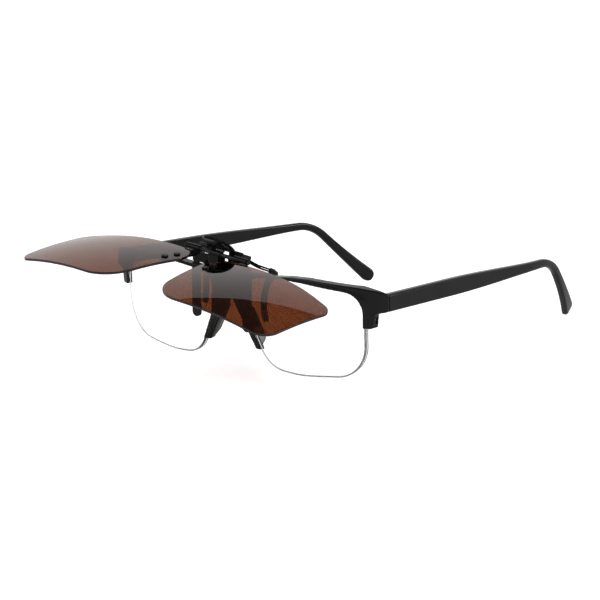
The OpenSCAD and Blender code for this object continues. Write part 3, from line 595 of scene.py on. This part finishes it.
def nylon_line(side, word):
    """Cord from its slot in the outer leg through the lens groove to the leg at the nose."""
    edge = moved_out(LENS_CORNERS, -CORD_DIA / 2 - SEAT / 2)
    flat = [on_side_at(edge[3], edge[2], ANCHOR_UP - ANCHOR_DROP)]
    for i in (3, 4, 5):
        flat += corner_arc(edge[i - 1], edge[i], edge[i + 1], edge[i][2], 18)
    flat.append(on_side_at(edge[5], edge[6], (edge[5][1] + edge[6][1]) / 2))
    anchor = on_side_at(LENS_CORNERS[3], LENS_CORNERS[2], ANCHOR_UP)
    slope = math.asin(anchor[0] / LENS_RADIUS)
    start = Vector((anchor[0], depth_at(LENS_RADIUS, 0, anchor), anchor[1]))
    outwards = Vector((math.cos(slope), math.sin(slope), 0))
    path = [start + outwards * run + Vector((0, 0, rise)) for run, rise in CORD_END]
    path += [Vector((p[0], depth_at(LENS_RADIUS, 0, p), p[1])) for p in refined(flat, 2.0)]
    place = lens_place(side)
    piece = tube("nylon_line_" + word, [place @ p * MM for p in path], CORD_DIA / 2 * MM)
    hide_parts("nylon_cord_" + word)
    dress(piece, "spectacles", "cord_nylon", NYLON)


# tinted lenses
def tinted_lens(side, word):
    piece = lens_piece(
        "tinted_lens_" + word, TINT_CORNERS, TINT_RADIUS, TINT_THICK, tint_place(side), TINT_BEVEL
    )
    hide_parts("clip_lens_" + word)
    dress(piece, "clip_lenses", "tint_brown", TINTED_LENS, TINT_EDGE)


# temples, lofted along their middle line
def temple_middle(s):
    bend_run = EAR_RADIUS * EAR_BEND
    run = min(s, TEMPLE_RUN)
    arc = min(bend_run, max(0.0, s - TEMPLE_RUN))
    rest = max(0.0, s - TEMPLE_RUN - bend_run)
    angle = TEMPLE_SLOPE + arc / EAR_RADIUS
    whole = TEMPLE_SLOPE + EAR_BEND
    long = TEMPLE_RUN + bend_run + TIP_RUN
    inward = s * TEMPLE_LEAN + TIP_IN * (max(0.0, s - TIP_IN_FROM) / (long - TIP_IN_FROM)) ** 2
    back = (
        TEMPLE_START
        + run * math.cos(TEMPLE_SLOPE)
        + EAR_RADIUS * (math.sin(angle) - math.sin(TEMPLE_SLOPE))
        + rest * math.cos(whole)
    )
    up = (
        TEMPLE_UP
        - run * math.sin(TEMPLE_SLOPE)
        - EAR_RADIUS * (math.cos(TEMPLE_SLOPE) - math.cos(angle))
        - rest * math.sin(whole)
    )
    return Vector((TEMPLE_OUTSIDE - TEMPLE_THICK / 2 - inward, back, up)), angle, long


def temple_section(s, long):
    """Box section under a low roof with a narrow crest at its outer foot, rounder at the ear."""
    if s < TAPER_TO:
        tapered = ease((s - TAPER_FROM) / (TAPER_TO - TAPER_FROM))
        tall = TEMPLE_TALL + (TEMPLE_THIN - TEMPLE_TALL) * tapered
    else:
        tall = TEMPLE_THIN + (TEMPLE_TIP - TEMPLE_THIN) * ((s - TAPER_TO) / (long - TAPER_TO)) ** 2
    fade = ease((s - ROOF_FADE_FROM) / (ROOF_FADE_TO - ROOF_FADE_FROM))
    half, top = TEMPLE_THICK / 2 - WITHIN, tall / 2 - WITHIN
    ridge, outer_drop, inner_drop = (a + (b - a) * fade for a, b in zip(ROOF, ROOF_AT_EAR))
    low_round, crest_round, inner_round = (a + (b - a) * fade for a, b in zip(ROUNDS, ROUNDS_AT_EAR))
    corners = [
        (-half, -top, low_round),
        (half, -top, low_round),
        (half, top - outer_drop, crest_round),
        (ridge, top, RIDGE_ROUND),
        (-half, top - inner_drop, inner_round),
    ]
    left = 1.0
    if s > long - TIP_ROUND:
        left = math.sqrt(max(0.01, 1 - ((s - long + TIP_ROUND) / TIP_ROUND) ** 2))
    butt = 1 - BUTT_SHRINK * (1 - min(1.0, s / BUTT_RUN))
    wide = (TIP_WIDE + (1 - TIP_WIDE) * left) * butt
    high = (TIP_HIGH + (1 - TIP_HIGH) * left) * butt
    return [(x * wide, z * high) for x, z in outline(corners, 8, 4)]


def temple(side, word):
    long = temple_middle(0)[2]
    # rings lie close together at the butt, on the bend and at the tip
    stations = [0, BUTT_RUN / 2, BUTT_RUN, 0.3, 0.8, SQUARE_RUN]
    stations += list(np.arange(4, TEMPLE_RUN - 2, 2.5))
    stations += list(np.arange(TEMPLE_RUN - 1, long - TIP_ROUND, 1.0))
    stations += [long - TIP_ROUND * (1 - math.sin(math.radians(9 * k))) for k in range(11)]
    rings = []
    for s in stations:
        middle, angle, _ = temple_middle(s)
        tilt = angle * min(1.0, s / SQUARE_RUN)
        rings.append([
            Vector((
                side * (middle.x + x),
                middle.y + z * math.sin(tilt),
                middle.z + z * math.cos(tilt),
            )) * MM
            for x, z in temple_section(s, long)
        ])
    piece = loft("temple_arm_" + word, rings)
    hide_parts("temple_" + word)
    dress(piece, "temple_" + word, "frame_black", BLACK_ACETATE)


# front: end pieces flush with the temples, all edges softly rounded, most along the brow
def flush_ends(co):
    """Brings the end pieces' sides out to the temples' and lets their undersides rise outwards."""
    x, z = np.abs(co[:, 0]) / MM, co[:, 2] / MM
    outer = np.clip((x - END_FROM) / END_FADE, 0, 1)
    low = np.clip((END_TOP - z) / END_TALL, 0, 1)
    under = np.clip((UNDER_TOP - z) / UNDER_FADE, 0, 1) * np.clip((x - LEG_SIDE) / UNDER_FADE, 0, 1)
    first, last = UNDER_RISE
    rise = first + (last - first) * np.clip((x - UNDER_FROM) / UNDER_RUN, 0, 1)
    co[:, 0] += np.sign(co[:, 0]) * outer * low * END_OUT * MM
    co[:, 2] += under * rise * MM


def front():
    def strength(co):
        """Passes for each vertex: few at the seam with the temples, most on the brow."""
        z = co[:, 2] / MM
        y = co[:, 1] / MM
        before_seam = np.clip(SEAM_FROM - y, 0, 1)
        brow = np.clip((z - BROW_FROM) / BROW_FADE, 0, 1) * before_seam
        return 1 + 4 * before_seam + 12 * brow

    piece = softened("front_frame", "front_shell", FRONT_VOXEL, strength, shaped=flush_ends)
    dress(piece, "spectacles", "frame_black", BLACK_ACETATE)


# the clip's mechanism and the hinges: node, new name, voxel in millimetres, passes, body, slot, material
MECHANISM = [
    ("lower_lever", "lower_jaw", 0.1, 4, "spectacles", "clip_black", CLIP_BLACK),
    ("flip_housing", "flip_block", 0.1, 5, "spectacles", "clip_black", CLIP_BLACK),
    ("flip_pin", "flip_axle", 0.08, 5, "spectacles", "pin_grey", PIN_BLACK),
    ("clamp_spring", "torsion_spring", 0.05, 4, "spectacles", "spring_steel", SPRING_STEEL),
    ("upper_lever", "upper_jaw", 0.1, 4, "clamp_jaw", "clip_black", CLIP_BLACK),
]
for word in ("right", "left"):
    MECHANISM += [
        ("pivot_pin_" + word, "pivot_stub_" + word, 0.08, 7, "spectacles", "pin_grey", PIN_BLACK),
        ("front_sleeve_" + word, "front_grip_" + word, 0.1, 6, "spectacles", "sleeve_rubber", RUBBER),
        ("rear_prong_" + word, "hairpin_" + word, 0.07, 4, "clamp_jaw", "clip_black", CLIP_BLACK),
        ("rear_sleeve_" + word, "rear_grip_" + word, 0.1, 6, "clamp_jaw", "sleeve_rubber", RUBBER),
        ("lens_bracket_" + word, "lens_strip_" + word, 0.09, 4, "clip_lenses", "clip_black", CLIP_BLACK),
        ("lens_rivets_" + word, "rivet_pair_" + word, 0.07, 5, "clip_lenses", "rivet_grey", RIVET_DARK),
        ("front_hinge_" + word, "front_leaf_" + word, 0.08, 3, "spectacles", "hinge_steel", HINGE_STEEL),
        ("hinge_screw_" + word, "screw_" + word, 0.06, 2, "spectacles", "hinge_steel", HINGE_STEEL),
        (
            "temple_hinge_" + word,
            "temple_leaf_" + word,
            0.08,
            3,
            "temple_" + word,
            "hinge_steel",
            HINGE_STEEL,
        ),
    ]


def mechanism():
    for node, name, voxel, passes, body, slot, finish in MECHANISM:
        piece = softened(node, name, voxel, passes)
        dress(piece, body, slot, finish)


# studio
def seen(tree):
    """1 for rays from the camera, straight or through glass, and 0 for all others."""
    path = tree.nodes.new("ShaderNodeLightPath")
    either = tree.nodes.new("ShaderNodeMath")
    either.operation = "MAXIMUM"
    tree.links.new(path.outputs["Is Camera Ray"], either.inputs[0])
    tree.links.new(path.outputs["Is Transmission Ray"], either.inputs[1])
    return either.outputs[0]


def white_when_seen(tree, level):
    """The level for reflections and light, and 1 where the camera looks."""
    made = tree.nodes.new("ShaderNodeMapRange")
    made.inputs["To Max"].default_value = 1.0
    if isinstance(level, float):
        made.inputs["To Min"].default_value = level
    else:
        tree.links.new(level, made.inputs["To Min"])
    tree.links.new(seen(tree), made.inputs["Value"])
    return made.outputs["Result"]


def floor():
    mesh = bpy.data.meshes.new("floor")
    work = bmesh.new()
    bmesh.ops.create_circle(work, cap_ends=True, segments=96, radius=WALL_RADIUS)
    work.to_mesh(mesh)
    work.free()
    made = new_object("floor", mesh)
    made.location.z = -FLOOR_DOWN * MM
    pale, tree, shader = material("pale_floor", Base_Color=(0.86, 0.86, 0.86, 1), Roughness=0.9)
    shader.inputs["Specular IOR Level"].default_value = 0.1
    shader.inputs["Emission Color"].default_value = (1, 1, 1, 1)
    lift = ramp(tree, seen(tree), 0.0, FLOOR_LIFT, 0, 1)
    tree.links.new(lift, shader.inputs["Emission Strength"])
    made.data.materials.append(pale)
    return made


def wall():
    mesh = bpy.data.meshes.new("wall")
    work = bmesh.new()
    height = WALL_RADIUS * math.tan(WALL_TOP_ANGLE)
    bmesh.ops.create_cone(
        work, cap_ends=False, segments=96, radius1=WALL_RADIUS, radius2=WALL_RADIUS, depth=height
    )
    bmesh.ops.translate(work, verts=work.verts, vec=(0, 0, height / 2))
    work.to_mesh(mesh)
    work.free()
    made = new_object("wall", mesh)
    white = bpy.data.materials.new("white_wall")
    white.use_nodes = True
    tree = white.node_tree
    tree.nodes.remove(tree.nodes["Principled BSDF"])
    place = tree.nodes.new("ShaderNodeTexCoord")
    split = tree.nodes.new("ShaderNodeSeparateXYZ")
    tree.links.new(place.outputs["Object"], split.inputs[0])
    level = ramp(tree, split.outputs["Z"], *WALL_LEVELS, 0, height)
    glow = tree.nodes.new("ShaderNodeEmission")
    tree.links.new(white_when_seen(tree, level), glow.inputs["Strength"])
    tree.links.new(glow.outputs["Emission"], tree.nodes["Material Output"].inputs["Surface"])
    made.data.materials.append(white)
    return made


def studio():
    floor()
    wall()
    world = bpy.data.worlds.new("ceiling")
    world.use_nodes = True
    tree = world.node_tree
    background = tree.nodes["Background"]
    tree.links.new(white_when_seen(tree, CEILING_LEVEL), background.inputs["Strength"])
    background.inputs["Color"].default_value = (1, 1, 1, 1)
    bpy.context.scene.world = world


def lamp(name, place, size, power):
    data = bpy.data.lights.new(name, "AREA")
    data.shape = "DISK"
    data.size = size
    data.energy = power
    made = bpy.data.objects.new(name, data)
    made.location = place
    towards = Vector(LIT_POINT) - made.location
    made.rotation_euler = towards.to_track_quat("-Z", "Y").to_euler()
    bpy.context.scene.collection.objects.link(made)


def camera():
    data = bpy.data.cameras.new("camera")
    data.lens = CAMERA_LENS
    data.sensor_width = CAMERA_SENSOR
    data.clip_start = 0.02
    data.clip_end = 50
    made = bpy.data.objects.new("camera", data)
    bpy.context.scene.collection.objects.link(made)
    upright = turn("Z", CAMERA_AZIMUTH) @ turn("X", math.pi / 2 - CAMERA_ELEVATION)
    made.matrix_world = Matrix.Translation(CAMERA_PLACE) @ upright @ turn("Z", CAMERA_ROLL)
    bpy.context.scene.camera = made


camera()
studio()
for name, place, size, power in LAMPS:
    lamp(name, place, size, power)

front()
for side, word in ((1, "right"), (-1, "left")):
    clear_lens(side, word)
    nylon_line(side, word)
    tinted_lens(side, word)
    temple(side, word)
mechanism()

scene = bpy.context.scene
scene.view_settings.view_transform = "Standard"
